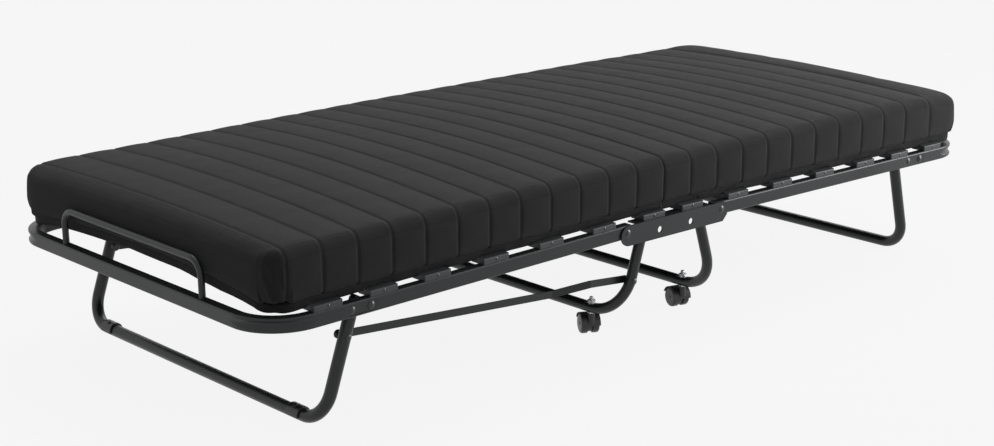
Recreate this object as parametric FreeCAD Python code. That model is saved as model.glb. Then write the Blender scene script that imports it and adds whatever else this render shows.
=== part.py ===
import FreeCAD, Part
import math
import os
from FreeCAD import Vector as V

# Folding guest bed, built open for use. Millimetres. Z is up and the floor is Z = 0.
# X runs along the bed, with the head end at -X. Y runs across it: the sleeper's right side is -Y.
# The origin is on the floor under the middle of the frame.

# ---- overall sizes -------------------------------------------------------------------------
frame_length = 1814.0
frame_width = 800.0
rail_height = 25.0            # rectangular rail tube
rail_width = 20.0
rail_wall = 2.0
rail_edge_radius = 3.0
rail_corner_radius = 92.0     # outside of the bend in plan
rail_bottom_z = 203.0         # at the hinge line, before the halves droop
dent_depth = 1.5              # how far the outer wall is pressed in round the leg rivets
bend_dent_depth = 4.0         # how far it sinks in at the middle of each bend
bend_dent_radius = 10.0       # section of that dent
bend_dent_reach = 46.0        # degrees that its ring runs to each side of the bend's middle

# ---- centre hinge --------------------------------------------------------------------------
hinge_x = 124.0               # hinge pins, each side of the middle
hinge_above_rail_bottom = 11.0
head_droop = 0.95             # degrees that each half hangs below level
foot_droop = 0.5
rail_end_past_hinge = 12.0
plate_thickness = 3.0
plate_end_past_hinge = 16.0
plate_bottom_z = 190.5
plate_hole_x = 41.0
plate_hole_radius = 6.0
plate_hole_above_bottom = 16.0
flange_width = 24.0
flange_half_length = 98.0
plate_upper_round = 11.0
plate_lower_chamfer = 12.0
hinge_pin_radius = 4.0
hinge_pin_head_radius = 7.0
hinge_pin_head_height = 2.2

# ---- legs ----------------------------------------------------------------------------------
leg_radius = 11.0
leg_wall = 1.5
leg_spacing = 716.0           # between the tube centres
leg_corner_radius = 52.0      # bend of the tube's centre line
leg_hinge_x = 702.0
leg_hinge_above_rail_bottom = 12.0
leg_pin_radius = 4.0
bracket_rivet_offset = 39.0
bracket_thickness = 3.0
bracket_margin = 13.0         # plate beyond its rivets, along the rail
bracket_corner_radius = 7.0
bracket_boss_wall = 3.5
rivet_head_radius = 7.0
rivet_head_height = 2.6
rivet_dent_overhang = 13.0    # dent beyond the rivets, along the rail
head_leg_foot_x = 773.0
foot_leg_foot_x = 756.0
head_leg_slope = 0.345        # sideways run for each millimetre of height
foot_leg_slope = 0.249
leg_knee_below_hinge = 16.0   # where the straight leg turns towards its hinge
leg_knee_radius = 40.0
leg_top_past_hinge = 7.0
clip_thickness = 3.5
clip_length = 32.0
clip_y = 289.5
clip_screw_radius = 1.9
clip_edge_below_centre = 3.0  # the half ring's edges, below the tube's axis
clip_screw_lean = 20.0        # degrees from upright, towards the head end
clip_screw_head_radius = 4.0
clip_screw_head_height = 1.8

# ---- centre legs and casters ---------------------------------------------------------------
centre_leg_radius = 10.0
centre_leg_foot_x = 122.5
centre_leg_slope = 0.315      # sideways run for each millimetre of height
centre_leg_above_wheels = 16.6   # the leg's floor bar, axis above the wheels' tops
centre_leg_corner_radius = 76.0
centre_leg_flat = 8.0         # half height of the bar where a caster is bolted through it
centre_leg_flat_half_length = 12.0
caster_y = 311.0
caster_trail = 18.0
wheel_radius = 19.0
wheel_width = 13.0
wheel_gap = 9.0
axle_radius = 3.0
stem_radius = 4.0
stem_above_leg = 20.4         # top of the stem above the leg's axis
stem_above_axle = 4.0         # the swivel pin's end above the axle's upper side
collar_radius = 7.5
collar_height = 2.5
hood_gap = 0.6                # wheel to hood
hood_thickness = 1.4
hood_boss_radius = 6.8
nut_across_flats = 13.0
nut_height = 6.5
caster_turn = {"head_right": 62.0, "foot_right": 75.0, "head_left": 262.0, "foot_left": 285.0}

# ---- link bars -----------------------------------------------------------------------------
link_height = 13.0
link_thickness = 3.0
link_pin_radius = 3.5
link_pin_head_radius = 5.5
link_pin_head_height = 1.6
link_end_nut_radius = 7.5
link_end_nut_height = 6.0
link_to_leg = 1.0             # side gap, link to head leg
link_to_centre_leg = 3.0      # side gap, link to centre leg
link_leg_z = 148.0            # pin on the head leg
link_centre_above_leg = 64.9  # pin on the centre leg, above that leg's floor bar
link_crank_start_x = -254.0
link_crank_start_drop = 4.5   # below the pin on the centre leg
link_crank_end_x = -190.0
link_crank_end_rise = 8.0     # above it

# ---- slats ---------------------------------------------------------------------------------
slat_width = 53.0
slat_thickness = 7.0
slat_crown = 21.0
slat_end_inset = 12.0         # slat end to the outside of the rail
centre_slat_x = 51.0
first_slat_x = 177.0
slat_pitches = (128.0, 128.0, 128.5, 112.5, 111.5)
cap_width = 57.0
cap_depth = 31.0
cap_floor = 1.5
cap_skin = 1.5
cap_inset = 2.0               # cap's outer face to the outside of the rail
cap_rivet_radius = 1.6
cap_rivet_head_radius = 3.2
cap_rivet_head_height = 1.1
cap_rivet_above_rail = 5.2

# ---- guard bar -----------------------------------------------------------------------------
guard_radius = 5.75
guard_half_spacing = 213.0
guard_rise = 68.0             # rail top to the outside of the bar
guard_corner_radius = 28.0

# ---- mattress ------------------------------------------------------------------------------
mattress_end_inset = 20.0     # from the outside of the frame
mattress_side_inset = 12.0
mattress_top_z = 335.0        # at the middle of the bed
mattress_corner_radius = 30.0
mattress_edge_radius = 14.0
mattress_fold_x = 173.0       # the middle stretch gives way between the folding halves

# ---- clearances ----------------------------------------------------------------------------
run_clearance = 0.05          # radial, a pin in its hole
side_clearance = 0.3          # faces that slide past each other
seat_clearance = 0.1          # a piece that sits snugly round another
soft_clearance = 0.5
mattress_seat = 0.9           # mattress above the caps' highest line

hinge_z = rail_bottom_z + hinge_above_rail_bottom
centre_leg_bar_z = 2 * wheel_radius + centre_leg_above_wheels
stem_top_z = centre_leg_bar_z + stem_above_leg
link_centre_z = centre_leg_bar_z + link_centre_above_leg
link_crank_start = (link_crank_start_x, link_centre_z - link_crank_start_drop)
link_crank_end = (link_crank_end_x, link_centre_z + link_crank_end_rise)
stem_bottom_z = wheel_radius + axle_radius + stem_above_axle
rail_top_z = rail_bottom_z + rail_height
half_width = frame_width / 2
half_length = frame_length / 2
rail_centre_y = half_width - rail_width / 2
rail_inner_y = half_width - rail_width
plate_inner_y = half_width + side_clearance
plate_outer_y = plate_inner_y + plate_thickness
leg_y = leg_spacing / 2
leg_hinge_z = rail_bottom_z + leg_hinge_above_rail_bottom

os.makedirs("parts", exist_ok=True)


def save(name, solids):
    """One STEP file for one named piece, or for one group of identical pieces."""
    solids = solids if isinstance(solids, list) else [solids]
    shape = solids[0] if len(solids) == 1 else Part.makeCompound(solids)
    shape.exportStep("parts/" + name + ".step")


def mirrored_y(shape):
    return shape.mirror(V(0, 0, 0), V(0, 1, 0))


def both_sides(shape):
    """A piece on the right side of the bed and its mirror image on the left."""
    return [shape, mirrored_y(shape)]


def bar_y(x, z, radius, y_start, y_end):
    """Round bar or hole along Y."""
    low, high = min(y_start, y_end), max(y_start, y_end)
    return Part.makeCylinder(radius, high - low, V(x, low, z), V(0, 1, 0))


def block(x0, x1, y0, y1, z0, z1):
    return Part.makeBox(x1 - x0, y1 - y0, z1 - z0, V(x0, y0, z0))


def prism_y(points, y0, y1):
    """Outline given as (x, z) points, pushed out from y0 to y1."""
    wire = Part.makePolygon([V(x, y0, z) for x, z in points] + [V(points[0][0], y0, points[0][1])])
    return Part.Face(wire).extrude(V(0, y1 - y0, 0))


def prism_x(points, x0, x1):
    """Outline given as (y, z) points, pushed out from x0 to x1."""
    wire = Part.makePolygon([V(x0, y, z) for y, z in points] + [V(x0, points[0][0], points[0][1])])
    return Part.Face(wire).extrude(V(x1 - x0, 0, 0))


def bent_path(points, radii):
    """Straight runs through the points, joined by tangent arcs of the given radii."""
    edges = []
    start = points[0]
    for i in range(1, len(points) - 1):
        corner = points[i]
        back = (points[i - 1] - corner).normalize()
        ahead = (points[i + 1] - corner).normalize()
        half_angle = back.getAngle(ahead) / 2
        reach = radii[i - 1] / math.tan(half_angle)
        centre = corner + (back + ahead).normalize() * (radii[i - 1] / math.sin(half_angle))
        middle = centre + (corner - centre).normalize() * radii[i - 1]
        arc_start = corner + back * reach
        arc_end = corner + ahead * reach
        edges.append(Part.LineSegment(start, arc_start).toShape())
        edges.append(Part.Arc(arc_start, middle, arc_end).toShape())
        start = arc_end
    edges.append(Part.LineSegment(start, points[-1]).toShape())
    return Part.Wire(edges)


def round_bar(path, radius):
    """Round bar along a bent path."""
    start = path.Edges[0].Vertexes[0].Point
    direction = path.Edges[0].tangentAt(path.Edges[0].FirstParameter)
    ring = Part.Wire([Part.Circle(start, direction, radius).toShape()])
    return path.makePipeShell([ring], True, False)


def round_tube(path, radius, wall):
    return round_bar(path, radius).cut(round_bar(path, radius - wall))


def rivet(x, y, z, radius, length, head_radius, head_height):
    """Domed rivet on the right side: its head is at y, outside, and its shank runs inwards (+Y)."""
    tip = V(x, y - head_height, z)
    rim = V(x + head_radius, y, z)
    dome_radius = (head_radius ** 2 + head_height ** 2) / (2 * head_height)
    half_turn = math.asin(head_radius / dome_radius) / 2
    crown = V(x + dome_radius * math.sin(half_turn),
              y - head_height + dome_radius * (1 - math.cos(half_turn)), z)
    corners = [rim, V(x + radius, y, z), V(x + radius, y + length, z), V(x, y + length, z), tip]
    edges = [Part.Arc(tip, crown, rim).toShape()]
    edges += [Part.LineSegment(a, b).toShape() for a, b in zip(corners, corners[1:])]
    return Part.Face(Part.Wire(edges)).revolve(V(x, y, z), V(0, 1, 0), 360)


# ---- rails: one bent rectangular tube for each half ----------------------------------------
# Each half is made level, as if for the foot end, then mirrored for the head, then drooped.

def rounded_section(x, y, z, width, height, radius):
    """Upright rounded rectangle across the start of a rail, centred at (y, z)."""
    plate = block(x, x + 1, y - width / 2, y + width / 2, z - height / 2, z + height / 2)
    if radius > 0:
        plate = plate.makeFillet(radius, [e for e in plate.Edges if abs(e.tangentAt(0).x) > 0.9])
    return [f.OuterWire for f in plate.Faces if f.CenterOfMass.x < x + 0.01][0]


def rail_path():
    start_x = hinge_x - rail_end_past_hinge
    end_x = half_length - rail_width / 2
    z = (rail_bottom_z + rail_top_z) / 2
    points = [V(start_x, -rail_centre_y, z), V(end_x, -rail_centre_y, z),
              V(end_x, rail_centre_y, z), V(start_x, rail_centre_y, z)]
    bend = rail_corner_radius - rail_width / 2
    return bent_path(points, [bend, bend])


def bend_dents(wall):
    """Rings that press the outer wall in round each bend: deepest in its middle, and fading out
    where the straight runs start. A ring fatter by the wall leaves the wall its thickness."""
    z = (rail_bottom_z + rail_top_z) / 2
    off_centre = bend_dent_depth / (1 - math.cos(math.radians(45)))
    shift = off_centre * math.cos(math.radians(45))
    centre = V(half_length - rail_corner_radius - shift,
               half_width - rail_corner_radius - shift, z)
    ring = Part.makeTorus(rail_corner_radius + bend_dent_radius + shift, bend_dent_radius + wall,
                          centre, V(0, 0, 1), 0, 360, 2 * bend_dent_reach)
    ring.rotate(centre, V(0, 0, 1), 45 - bend_dent_reach)
    return both_sides(ring)


rivet_dent_length = bracket_rivet_offset + 2 * rivet_dent_overhang


def rivet_seat_depth():
    """How deep the dent is at the outer rim of a rivet's head."""
    share = (bracket_rivet_offset / 2 + rivet_head_radius) / (rivet_dent_length / 2)
    return dent_depth * max(0.0, 1 - share ** 2)


def rivet_dents():
    """The rail's outer wall is pressed in round the two leg rivets."""
    middle_x = leg_hinge_x + bracket_rivet_offset / 2
    sag_radius = (rivet_dent_length ** 2 / 4 + dent_depth ** 2) / (2 * dent_depth)
    drum = Part.makeCylinder(sag_radius, rail_height - 7.0,
                             V(middle_x, -half_width - sag_radius + dent_depth, rail_bottom_z + 3.5))
    return both_sides(drum)


def half_rail():
    path = rail_path()
    start_x = hinge_x - rail_end_past_hinge
    z = (rail_bottom_z + rail_top_z) / 2
    outside = path.makePipeShell(
        [rounded_section(start_x, -rail_centre_y, z, rail_width, rail_height, rail_edge_radius)],
        True, False)
    inside = path.makePipeShell(
        [rounded_section(start_x, -rail_centre_y, z, rail_width - 2 * rail_wall,
                         rail_height - 2 * rail_wall, rail_edge_radius - rail_wall)],
        True, False)
    for dent in bend_dents(0):
        outside = outside.cut(dent)
    for dent in bend_dents(rail_wall):
        inside = inside.cut(dent)
    rail = outside.cut(inside)
    for dent in rivet_dents():
        rail = rail.cut(dent)
    holes = [bar_y(hinge_x, hinge_z, hinge_pin_radius + run_clearance,
                   -half_width - 1, -rail_inner_y + 1),
             bar_y(leg_hinge_x, leg_hinge_z, leg_pin_radius, -half_width - 1, -rail_inner_y + 1),
             bar_y(leg_hinge_x + bracket_rivet_offset, leg_hinge_z, leg_pin_radius,
                   -half_width - 1, -rail_inner_y + 1)]
    for hole in holes:
        for one in both_sides(hole):
            rail = rail.cut(one)
    return rail


# ---- slats, their end caps and the cap rivets ----------------------------------------------

def slat_arc_radius():
    half_span = half_width - slat_end_inset
    return (half_span ** 2 + slat_crown ** 2) / (2 * slat_crown)


def slat_underside_z():
    """Height of the slat's lower face at its ends."""
    return rail_top_z + cap_floor


def bowed_sheet(x0, x1, low_offset, high_offset, half_span):
    """Sheet between two arcs that share the slats' centre, cut off at +-half_span."""
    radius = slat_arc_radius()
    centre_z = slat_underside_z() + slat_crown - radius
    outer = Part.makeCylinder(radius + high_offset, x1 - x0, V(x0, 0, centre_z), V(1, 0, 0))
    inner = Part.makeCylinder(radius + low_offset, x1 - x0, V(x0, 0, centre_z), V(1, 0, 0))
    return outer.cut(inner).common(block(x0, x1, -half_span, half_span, rail_bottom_z, rail_top_z + 200))


def slat(x):
    half_span = half_width - slat_end_inset
    body = bowed_sheet(x - slat_width / 2, x + slat_width / 2, 0, slat_thickness, half_span)
    upright = [e for e in body.Edges
               if abs(e.tangentAt(e.FirstParameter).z) > 0.8 and e.Length < 1.5 * slat_thickness]
    return body.makeFillet(4.0, upright)


def slat_cap(x):
    """Moulded end holder on the right rail: a block that follows the slat, with a socket for it."""
    slope = slat_crown * 2 / (half_width - slat_end_inset)
    outer_y = -half_width + cap_inset
    inner_y = outer_y + cap_depth
    top_at_end = slat_underside_z() + slat_thickness + cap_skin
    outline = [(outer_y, rail_top_z), (inner_y, rail_top_z),
               (inner_y, top_at_end + slope * (cap_depth - slat_end_inset + cap_inset)),
               (outer_y, top_at_end)]
    cap = prism_x(outline, x - cap_width / 2, x + cap_width / 2)
    outer_edges = [e for e in cap.Edges
                   if e.CenterOfMass.y < outer_y + 0.1 and e.CenterOfMass.z > rail_top_z + 1]
    cap = cap.makeFillet(2.0, outer_edges)
    socket = bowed_sheet(x - slat_width / 2 - seat_clearance, x + slat_width / 2 + seat_clearance,
                         -seat_clearance, slat_thickness + seat_clearance,
                         half_width - slat_end_inset + seat_clearance)
    hole = bar_y(x, rail_top_z + cap_rivet_above_rail, cap_rivet_radius, outer_y - 1, outer_y + 12)
    return cap.cut(socket).cut(hole)


def cap_rivet(x):
    """Small rivet through the cap's outer face, stopping short of the slat's end."""
    outer_y = -half_width + cap_inset
    length = slat_end_inset - cap_inset - 1.0
    return rivet(x, outer_y, rail_top_z + cap_rivet_above_rail, cap_rivet_radius, length,
                 cap_rivet_head_radius, cap_rivet_head_height)


def slat_set(positions):
    slats = [slat(x) for x in positions]
    caps = []
    rivets = []
    for x in positions:
        caps += both_sides(slat_cap(x))
        rivets += both_sides(cap_rivet(x))
    return slats, caps, rivets


# ---- guard bar at the head end -------------------------------------------------------------

def guard_bar():
    x = half_length - rail_width / 2
    low_z = rail_top_z
    high_z = rail_top_z + guard_rise - guard_radius
    points = [V(x, -guard_half_spacing, low_z), V(x, -guard_half_spacing, high_z),
              V(x, guard_half_spacing, high_z), V(x, guard_half_spacing, low_z)]
    return round_bar(bent_path(points, [guard_corner_radius] * 2), guard_radius)


# ---- leg brackets and pins on each half ----------------------------------------------------

def leg_bracket():
    """Plate against the inside of the rail, with a spacer boss out to the leg tube."""
    x0 = leg_hinge_x - bracket_margin
    x1 = leg_hinge_x + bracket_rivet_offset + bracket_margin
    y0 = -rail_inner_y
    plate = block(x0, x1, y0, y0 + bracket_thickness, rail_bottom_z + 2, rail_top_z - 3)
    plate = plate.makeFillet(bracket_corner_radius,
                             [e for e in plate.Edges if abs(e.tangentAt(e.FirstParameter).y) > 0.9])
    boss = bar_y(leg_hinge_x, leg_hinge_z, leg_pin_radius + bracket_boss_wall,
                 y0, -leg_y - leg_radius - side_clearance)
    bracket = plate.fuse(boss)
    for x in (leg_hinge_x, leg_hinge_x + bracket_rivet_offset):
        bracket = bracket.cut(bar_y(x, leg_hinge_z, leg_pin_radius, y0 - 1, -leg_y))
    return bracket


def leg_pins():
    """The leg's hinge rivet, through rail, bracket and leg, and the bracket's second rivet."""
    head_y = -half_width + rivet_seat_depth()
    hinge = rivet(leg_hinge_x, head_y, leg_hinge_z, leg_pin_radius,
                  -leg_y + leg_radius + 2.0 - head_y, rivet_head_radius, rivet_head_height)
    fixing = rivet(leg_hinge_x + bracket_rivet_offset, head_y, leg_hinge_z, leg_pin_radius,
                   -rail_inner_y + bracket_thickness + 1.0 - head_y, rivet_head_radius, rivet_head_height)
    return both_sides(hinge) + both_sides(fixing)


# ---- end legs: one bent round tube each ----------------------------------------------------

def end_leg(foot_x, slope, hinge):
    """U-shaped leg, foot end of the bed. The hinge point is given as (x, z) after the droop."""
    foot_z = leg_radius
    knee_z = hinge[1] - leg_knee_below_hinge
    knee_x = foot_x - slope * (knee_z - foot_z)
    reach = math.hypot(hinge[0] - knee_x, hinge[1] - knee_z)
    grow = (reach + leg_top_past_hinge) / reach
    top_x = knee_x + (hinge[0] - knee_x) * grow
    top_z = knee_z + (hinge[1] - knee_z) * grow
    points = [V(top_x, -leg_y, top_z), V(knee_x, -leg_y, knee_z), V(foot_x, -leg_y, foot_z),
              V(foot_x, leg_y, foot_z), V(knee_x, leg_y, knee_z), V(top_x, leg_y, top_z)]
    radii = [leg_knee_radius, leg_corner_radius, leg_corner_radius, leg_knee_radius]
    leg = round_tube(bent_path(points, radii), leg_radius, leg_wall)
    hole = bar_y(hinge[0], hinge[1], leg_pin_radius + run_clearance,
                 -leg_y - leg_radius - 1, -leg_y + leg_radius + 1)
    for one in both_sides(hole):
        leg = leg.cut(one)
    return leg


# ---- centre hinge plates, centre legs and casters ------------------------------------------

def hinge_plate():
    """Pressed angle on the right side: web outside the rails, flange inwards under the slats."""
    end_x = hinge_x + plate_end_past_hinge
    top_z = rail_top_z
    web = block(-end_x, end_x, -plate_outer_y, -plate_inner_y, plate_bottom_z, top_z)
    # Rounded lobe at the head end, hanging a little below the web's straight lower edge.
    lobe_radius = (top_z - plate_bottom_z) / 2
    lobe = bar_y(-end_x + lobe_radius, plate_bottom_z + lobe_radius, lobe_radius,
                 -plate_outer_y, -plate_inner_y)
    trim_low = block(-end_x - 1, -end_x + lobe_radius, -plate_outer_y - 1, -plate_inner_y + 1,
                     plate_bottom_z - 1, top_z + 1)
    web = web.cut(trim_low).fuse(lobe).removeSplitter()
    # At the foot end the upper corner is rounded and the lower one is cut off at a slant.
    upper = [e for e in web.Edges if e.CenterOfMass.x > end_x - 1 and e.CenterOfMass.z > top_z - 1
             and abs(e.tangentAt(e.FirstParameter).y) > 0.9]
    web = web.makeFillet(plate_upper_round, upper)
    lower = [e for e in web.Edges if e.CenterOfMass.x > end_x - 1 and e.CenterOfMass.z < plate_bottom_z + 1
             and abs(e.tangentAt(e.FirstParameter).y) > 0.9]
    web = web.makeChamfer(plate_lower_chamfer, lower)
    flange = block(-flange_half_length, flange_half_length, -plate_inner_y, -plate_inner_y + flange_width,
                   top_z - plate_thickness, top_z)
    plate = web.fuse(flange).removeSplitter()
    for x in (-plate_hole_x, plate_hole_x):
        plate = plate.cut(bar_y(x, plate_bottom_z + plate_hole_above_bottom, plate_hole_radius,
                                -plate_outer_y - 1, -plate_inner_y + 1))
    for x in (-hinge_x, hinge_x):
        plate = plate.cut(bar_y(x, hinge_z, hinge_pin_radius, -plate_outer_y - 1, -plate_inner_y + 1))
    return plate


def hinge_pins():
    pins = []
    for x in (-hinge_x, hinge_x):
        pins += both_sides(rivet(x, -plate_outer_y, hinge_z, hinge_pin_radius,
                                 plate_outer_y - rail_inner_y + 1.5,
                                 hinge_pin_head_radius, hinge_pin_head_height))
    return pins


centre_leg_y = plate_inner_y - centre_leg_radius
centre_leg_top_z = rail_top_z - plate_thickness - 1.0 - centre_leg_radius * 0.3


def centre_leg_x(z):
    """Distance of the centre leg's axis from the middle of the bed at height z."""
    return centre_leg_foot_x - centre_leg_slope * (z - centre_leg_bar_z)


def centre_leg():
    """U-shaped leg, foot side of the middle, with flats and holes for its two casters."""
    top_x = centre_leg_x(centre_leg_top_z)
    points = [V(top_x, -centre_leg_y, centre_leg_top_z),
              V(centre_leg_foot_x, -centre_leg_y, centre_leg_bar_z),
              V(centre_leg_foot_x, centre_leg_y, centre_leg_bar_z),
              V(top_x, centre_leg_y, centre_leg_top_z)]
    leg = round_tube(bent_path(points, [centre_leg_corner_radius] * 2), centre_leg_radius, leg_wall)
    for y in (-caster_y, caster_y):
        for low in (centre_leg_bar_z + centre_leg_flat, centre_leg_bar_z - centre_leg_flat - 10):
            leg = leg.cut(block(centre_leg_foot_x - 15, centre_leg_foot_x + 15,
                                y - centre_leg_flat_half_length, y + centre_leg_flat_half_length,
                                low, low + 10))
        leg = leg.cut(Part.makeCylinder(stem_radius, 40, V(centre_leg_foot_x, y, centre_leg_bar_z - 20)))
    return leg


def caster_stem():
    """Threaded stem with its collar, standing on the swivel axis; the lower end is the swivel pin."""
    collar_top = centre_leg_bar_z - centre_leg_flat
    stem = Part.makeCylinder(stem_radius, stem_top_z - stem_bottom_z, V(0, 0, stem_bottom_z))
    stem = stem.makeChamfer(0.8, [e for e in stem.Edges if e.CenterOfMass.z > stem_top_z - 1 and e.Closed])
    collar = Part.makeCylinder(collar_radius, collar_height, V(0, 0, collar_top - collar_height))
    return stem.fuse(collar)


def caster_nut():
    nut_bottom = centre_leg_bar_z + centre_leg_flat
    corner = nut_across_flats / 2 / math.cos(math.radians(30))
    points = [V(corner * math.cos(math.radians(60 * i)), corner * math.sin(math.radians(60 * i)), nut_bottom)
              for i in range(7)]
    nut = Part.Face(Part.makePolygon(points)).extrude(V(0, 0, nut_height))
    return nut.cut(Part.makeCylinder(stem_radius, nut_height + 2, V(0, 0, nut_bottom - 1)))


def caster_hood():
    """Cover over both wheels: a central web with the stem's boss, and a curved roof on each side."""
    hood_inner = wheel_radius + hood_gap
    hood_outer = hood_inner + hood_thickness
    half = wheel_gap / 2 + wheel_width + 0.5
    ring = bar_y(caster_trail, wheel_radius, hood_outer, -half, half)
    ring = ring.cut(bar_y(caster_trail, wheel_radius, hood_inner, -half - 1, half + 1))
    keep = prism_y([(caster_trail, wheel_radius), (caster_trail - 60, wheel_radius - 2),
                    (caster_trail - 60, wheel_radius + 60), (caster_trail + 60, wheel_radius + 60),
                    (caster_trail + 60, wheel_radius + 22)], -half - 1, half + 1)
    roof = ring.common(keep)
    web_half = wheel_gap / 2 - hood_gap
    web = bar_y(caster_trail, wheel_radius, wheel_radius - 3.0, -web_half, web_half)
    web = web.fuse(bar_y(caster_trail, wheel_radius, hood_inner + 1, -web_half, web_half).common(keep))
    boss_top = centre_leg_bar_z - centre_leg_flat - collar_height - side_clearance
    boss_bottom = stem_bottom_z - 2.0
    boss = Part.makeCylinder(hood_boss_radius, boss_top - boss_bottom, V(0, 0, boss_bottom))
    boss = boss.cut(bar_y(caster_trail, wheel_radius, wheel_radius + 0.8, -half, half).cut(
        block(-40, 60, -web_half, web_half, 0, 80)))
    hood = roof.fuse(web).fuse(boss).removeSplitter()
    hood = hood.cut(Part.makeCylinder(stem_radius + run_clearance, 60,
                                      V(0, 0, stem_bottom_z - side_clearance)))
    return hood.cut(bar_y(caster_trail, wheel_radius, axle_radius, -half, half))


def caster_axle():
    half = wheel_gap / 2 + wheel_width + 0.6
    return bar_y(caster_trail, wheel_radius, axle_radius, -half, half)


def caster_wheel(side):
    """Twin wheel: flat inner face, domed outer face. side is -1 or +1 along the axle."""
    y0 = side * wheel_gap / 2
    y1 = side * (wheel_gap / 2 + wheel_width)
    wheel = bar_y(caster_trail, wheel_radius, wheel_radius, y0, y1)
    rims = [e for e in wheel.Edges if e.Closed and abs(e.CenterOfMass.y - y1) < 0.1]
    wheel = wheel.makeFillet(4.5, rims)
    inner = [e for e in wheel.Edges if e.Closed and abs(e.CenterOfMass.y - y0) < 0.1]
    wheel = wheel.makeFillet(1.5, inner)
    return wheel.cut(bar_y(caster_trail, wheel_radius, axle_radius + run_clearance, y0 - side, y1 + side))


def place_caster(shape, key):
    """Turns a caster piece made at the origin and stands it under its stem's hole."""
    x = centre_leg_foot_x * (-1 if key.startswith("head") else 1)
    y = caster_y * (-1 if key.endswith("right") else 1)
    placed = shape.copy()
    placed.rotate(V(0, 0, 0), V(0, 0, 1), caster_turn[key])
    placed.translate(V(x, y, 0))
    return placed


# ---- link bars between the head leg and the centre leg -------------------------------------

def link_leg_pin_x():
    return -head_leg_foot_x + head_leg_slope * (link_leg_z - leg_radius)


def link_centre_pin_x():
    return -centre_leg_x(link_centre_z)


def band(points, half_height, low, high, axis):
    """Ribbon along a broken line, rounded at its corners, pushed out along Y or Z."""
    shape = None
    for start, end in zip(points, points[1:]):
        length = math.hypot(end[0] - start[0], end[1] - start[1])
        across = (-(end[1] - start[1]) / length * half_height, (end[0] - start[0]) / length * half_height)
        corners = [(start[0] + across[0], start[1] + across[1]), (start[0] - across[0], start[1] - across[1]),
                   (end[0] - across[0], end[1] - across[1]), (end[0] + across[0], end[1] + across[1])]
        flat = [V(a, low, b) if axis == "y" else V(a, b, low) for a, b in corners]
        push = V(0, high - low, 0) if axis == "y" else V(0, 0, high - low)
        run = Part.Face(Part.makePolygon(flat + [flat[0]])).extrude(push)
        shape = run if shape is None else shape.fuse(run)
    direction = V(0, 1, 0) if axis == "y" else V(0, 0, 1)
    for a, b in points:
        base = V(a, low, b) if axis == "y" else V(a, b, low)
        shape = shape.fuse(Part.makeCylinder(half_height, high - low, base, direction))
    return shape.removeSplitter()


link_leg_y = -leg_y + leg_radius + link_to_leg + link_thickness / 2
link_centre_y = -centre_leg_y + centre_leg_radius + link_to_centre_leg + link_thickness / 2


def link_bar():
    """Flat bar, cranked upwards and outwards near the centre leg, with an eye at each end."""
    side_line = [(link_leg_pin_x(), link_leg_z), link_crank_start, link_crank_end,
                 (link_centre_pin_x(), link_centre_z)]
    plan_line = [(link_leg_pin_x() - link_height, link_leg_y), (link_crank_start[0], link_leg_y),
                 (link_crank_end[0], link_centre_y), (link_centre_pin_x() + link_height, link_centre_y)]
    side = band(side_line, link_height / 2, -half_width, -leg_y + 60, "y")
    plan = band(plan_line, link_thickness / 2, 50, 250, "z")
    bar = side.common(plan)
    bar = bar.cut(bar_y(link_centre_pin_x(), link_centre_z, link_pin_radius + run_clearance,
                        link_centre_y - 20, link_centre_y + 20))
    return bar


def link_end_nut():
    """Black cap nut on the inner face of the link, in line with the pin in the leg."""
    y0 = link_leg_y + link_thickness / 2
    nut = bar_y(link_leg_pin_x(), link_leg_z, link_end_nut_radius, y0, y0 + link_end_nut_height)
    outer = [e for e in nut.Edges if e.Closed and e.CenterOfMass.y > y0 + link_end_nut_height - 1]
    return nut.makeFillet(2.5, outer)


def link_leg_pin():
    """Rivet through the head leg; it stops just short of the link."""
    head_y = -leg_y - leg_radius
    return rivet(link_leg_pin_x(), head_y, link_leg_z, link_pin_radius, 2 * leg_radius + link_to_leg - 0.4,
                 link_pin_head_radius, link_pin_head_height)


def link_centre_pin():
    """Rivet through the centre leg and the link's eye, with a head at each end."""
    head_y = -centre_leg_y - centre_leg_radius
    length = link_centre_y + link_thickness / 2 + side_clearance - head_y
    pin = rivet(link_centre_pin_x(), head_y, link_centre_z, link_pin_radius, length,
                link_pin_head_radius, link_pin_head_height)
    y0 = head_y + length
    return pin.fuse(bar_y(link_centre_pin_x(), link_centre_z, 6.0, y0, y0 + 2.0))


# ---- rest clips on the head leg ------------------------------------------------------------

clip_screw_direction = V(-math.sin(math.radians(clip_screw_lean)), 0, math.cos(math.radians(clip_screw_lean)))


def clip_screw_hole(y):
    return Part.makeCylinder(clip_screw_radius, 40, V(-head_leg_foot_x, y, leg_radius), clip_screw_direction)


def rest_clip(y):
    """Plastic half ring over the top of the head leg's floor bar, which the folded bed rests on."""
    x, z = -head_leg_foot_x, leg_radius
    ring = bar_y(x, z, leg_radius + clip_thickness, y - clip_length / 2, y + clip_length / 2)
    rims = [e for e in ring.Edges if e.Closed]
    ring = ring.makeFillet(1.5, rims)
    ring = ring.cut(bar_y(x, z, leg_radius + seat_clearance, y - clip_length, y + clip_length))
    under = block(x - 30, x + 30, y - clip_length, y + clip_length, z - 30, z - clip_edge_below_centre)
    return ring.cut(under).cut(clip_screw_hole(y))


def clip_screw(y):
    """Pan-head screw down through the clip and the tube's wall."""
    centre = V(-head_leg_foot_x, y, leg_radius)
    start = centre + clip_screw_direction * (leg_radius - leg_wall - 1.0)
    shank = Part.makeCylinder(clip_screw_radius, leg_wall + clip_thickness + 1.2, start, clip_screw_direction)
    seat = centre + clip_screw_direction * (leg_radius + clip_thickness)
    head = Part.makeCylinder(clip_screw_head_radius, clip_screw_head_height, seat, clip_screw_direction)
    head = head.makeFillet(0.8, [e for e in head.Edges if e.Closed and e.CenterOfMass.z > seat.z + 1])
    return shank.fuse(head)


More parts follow.
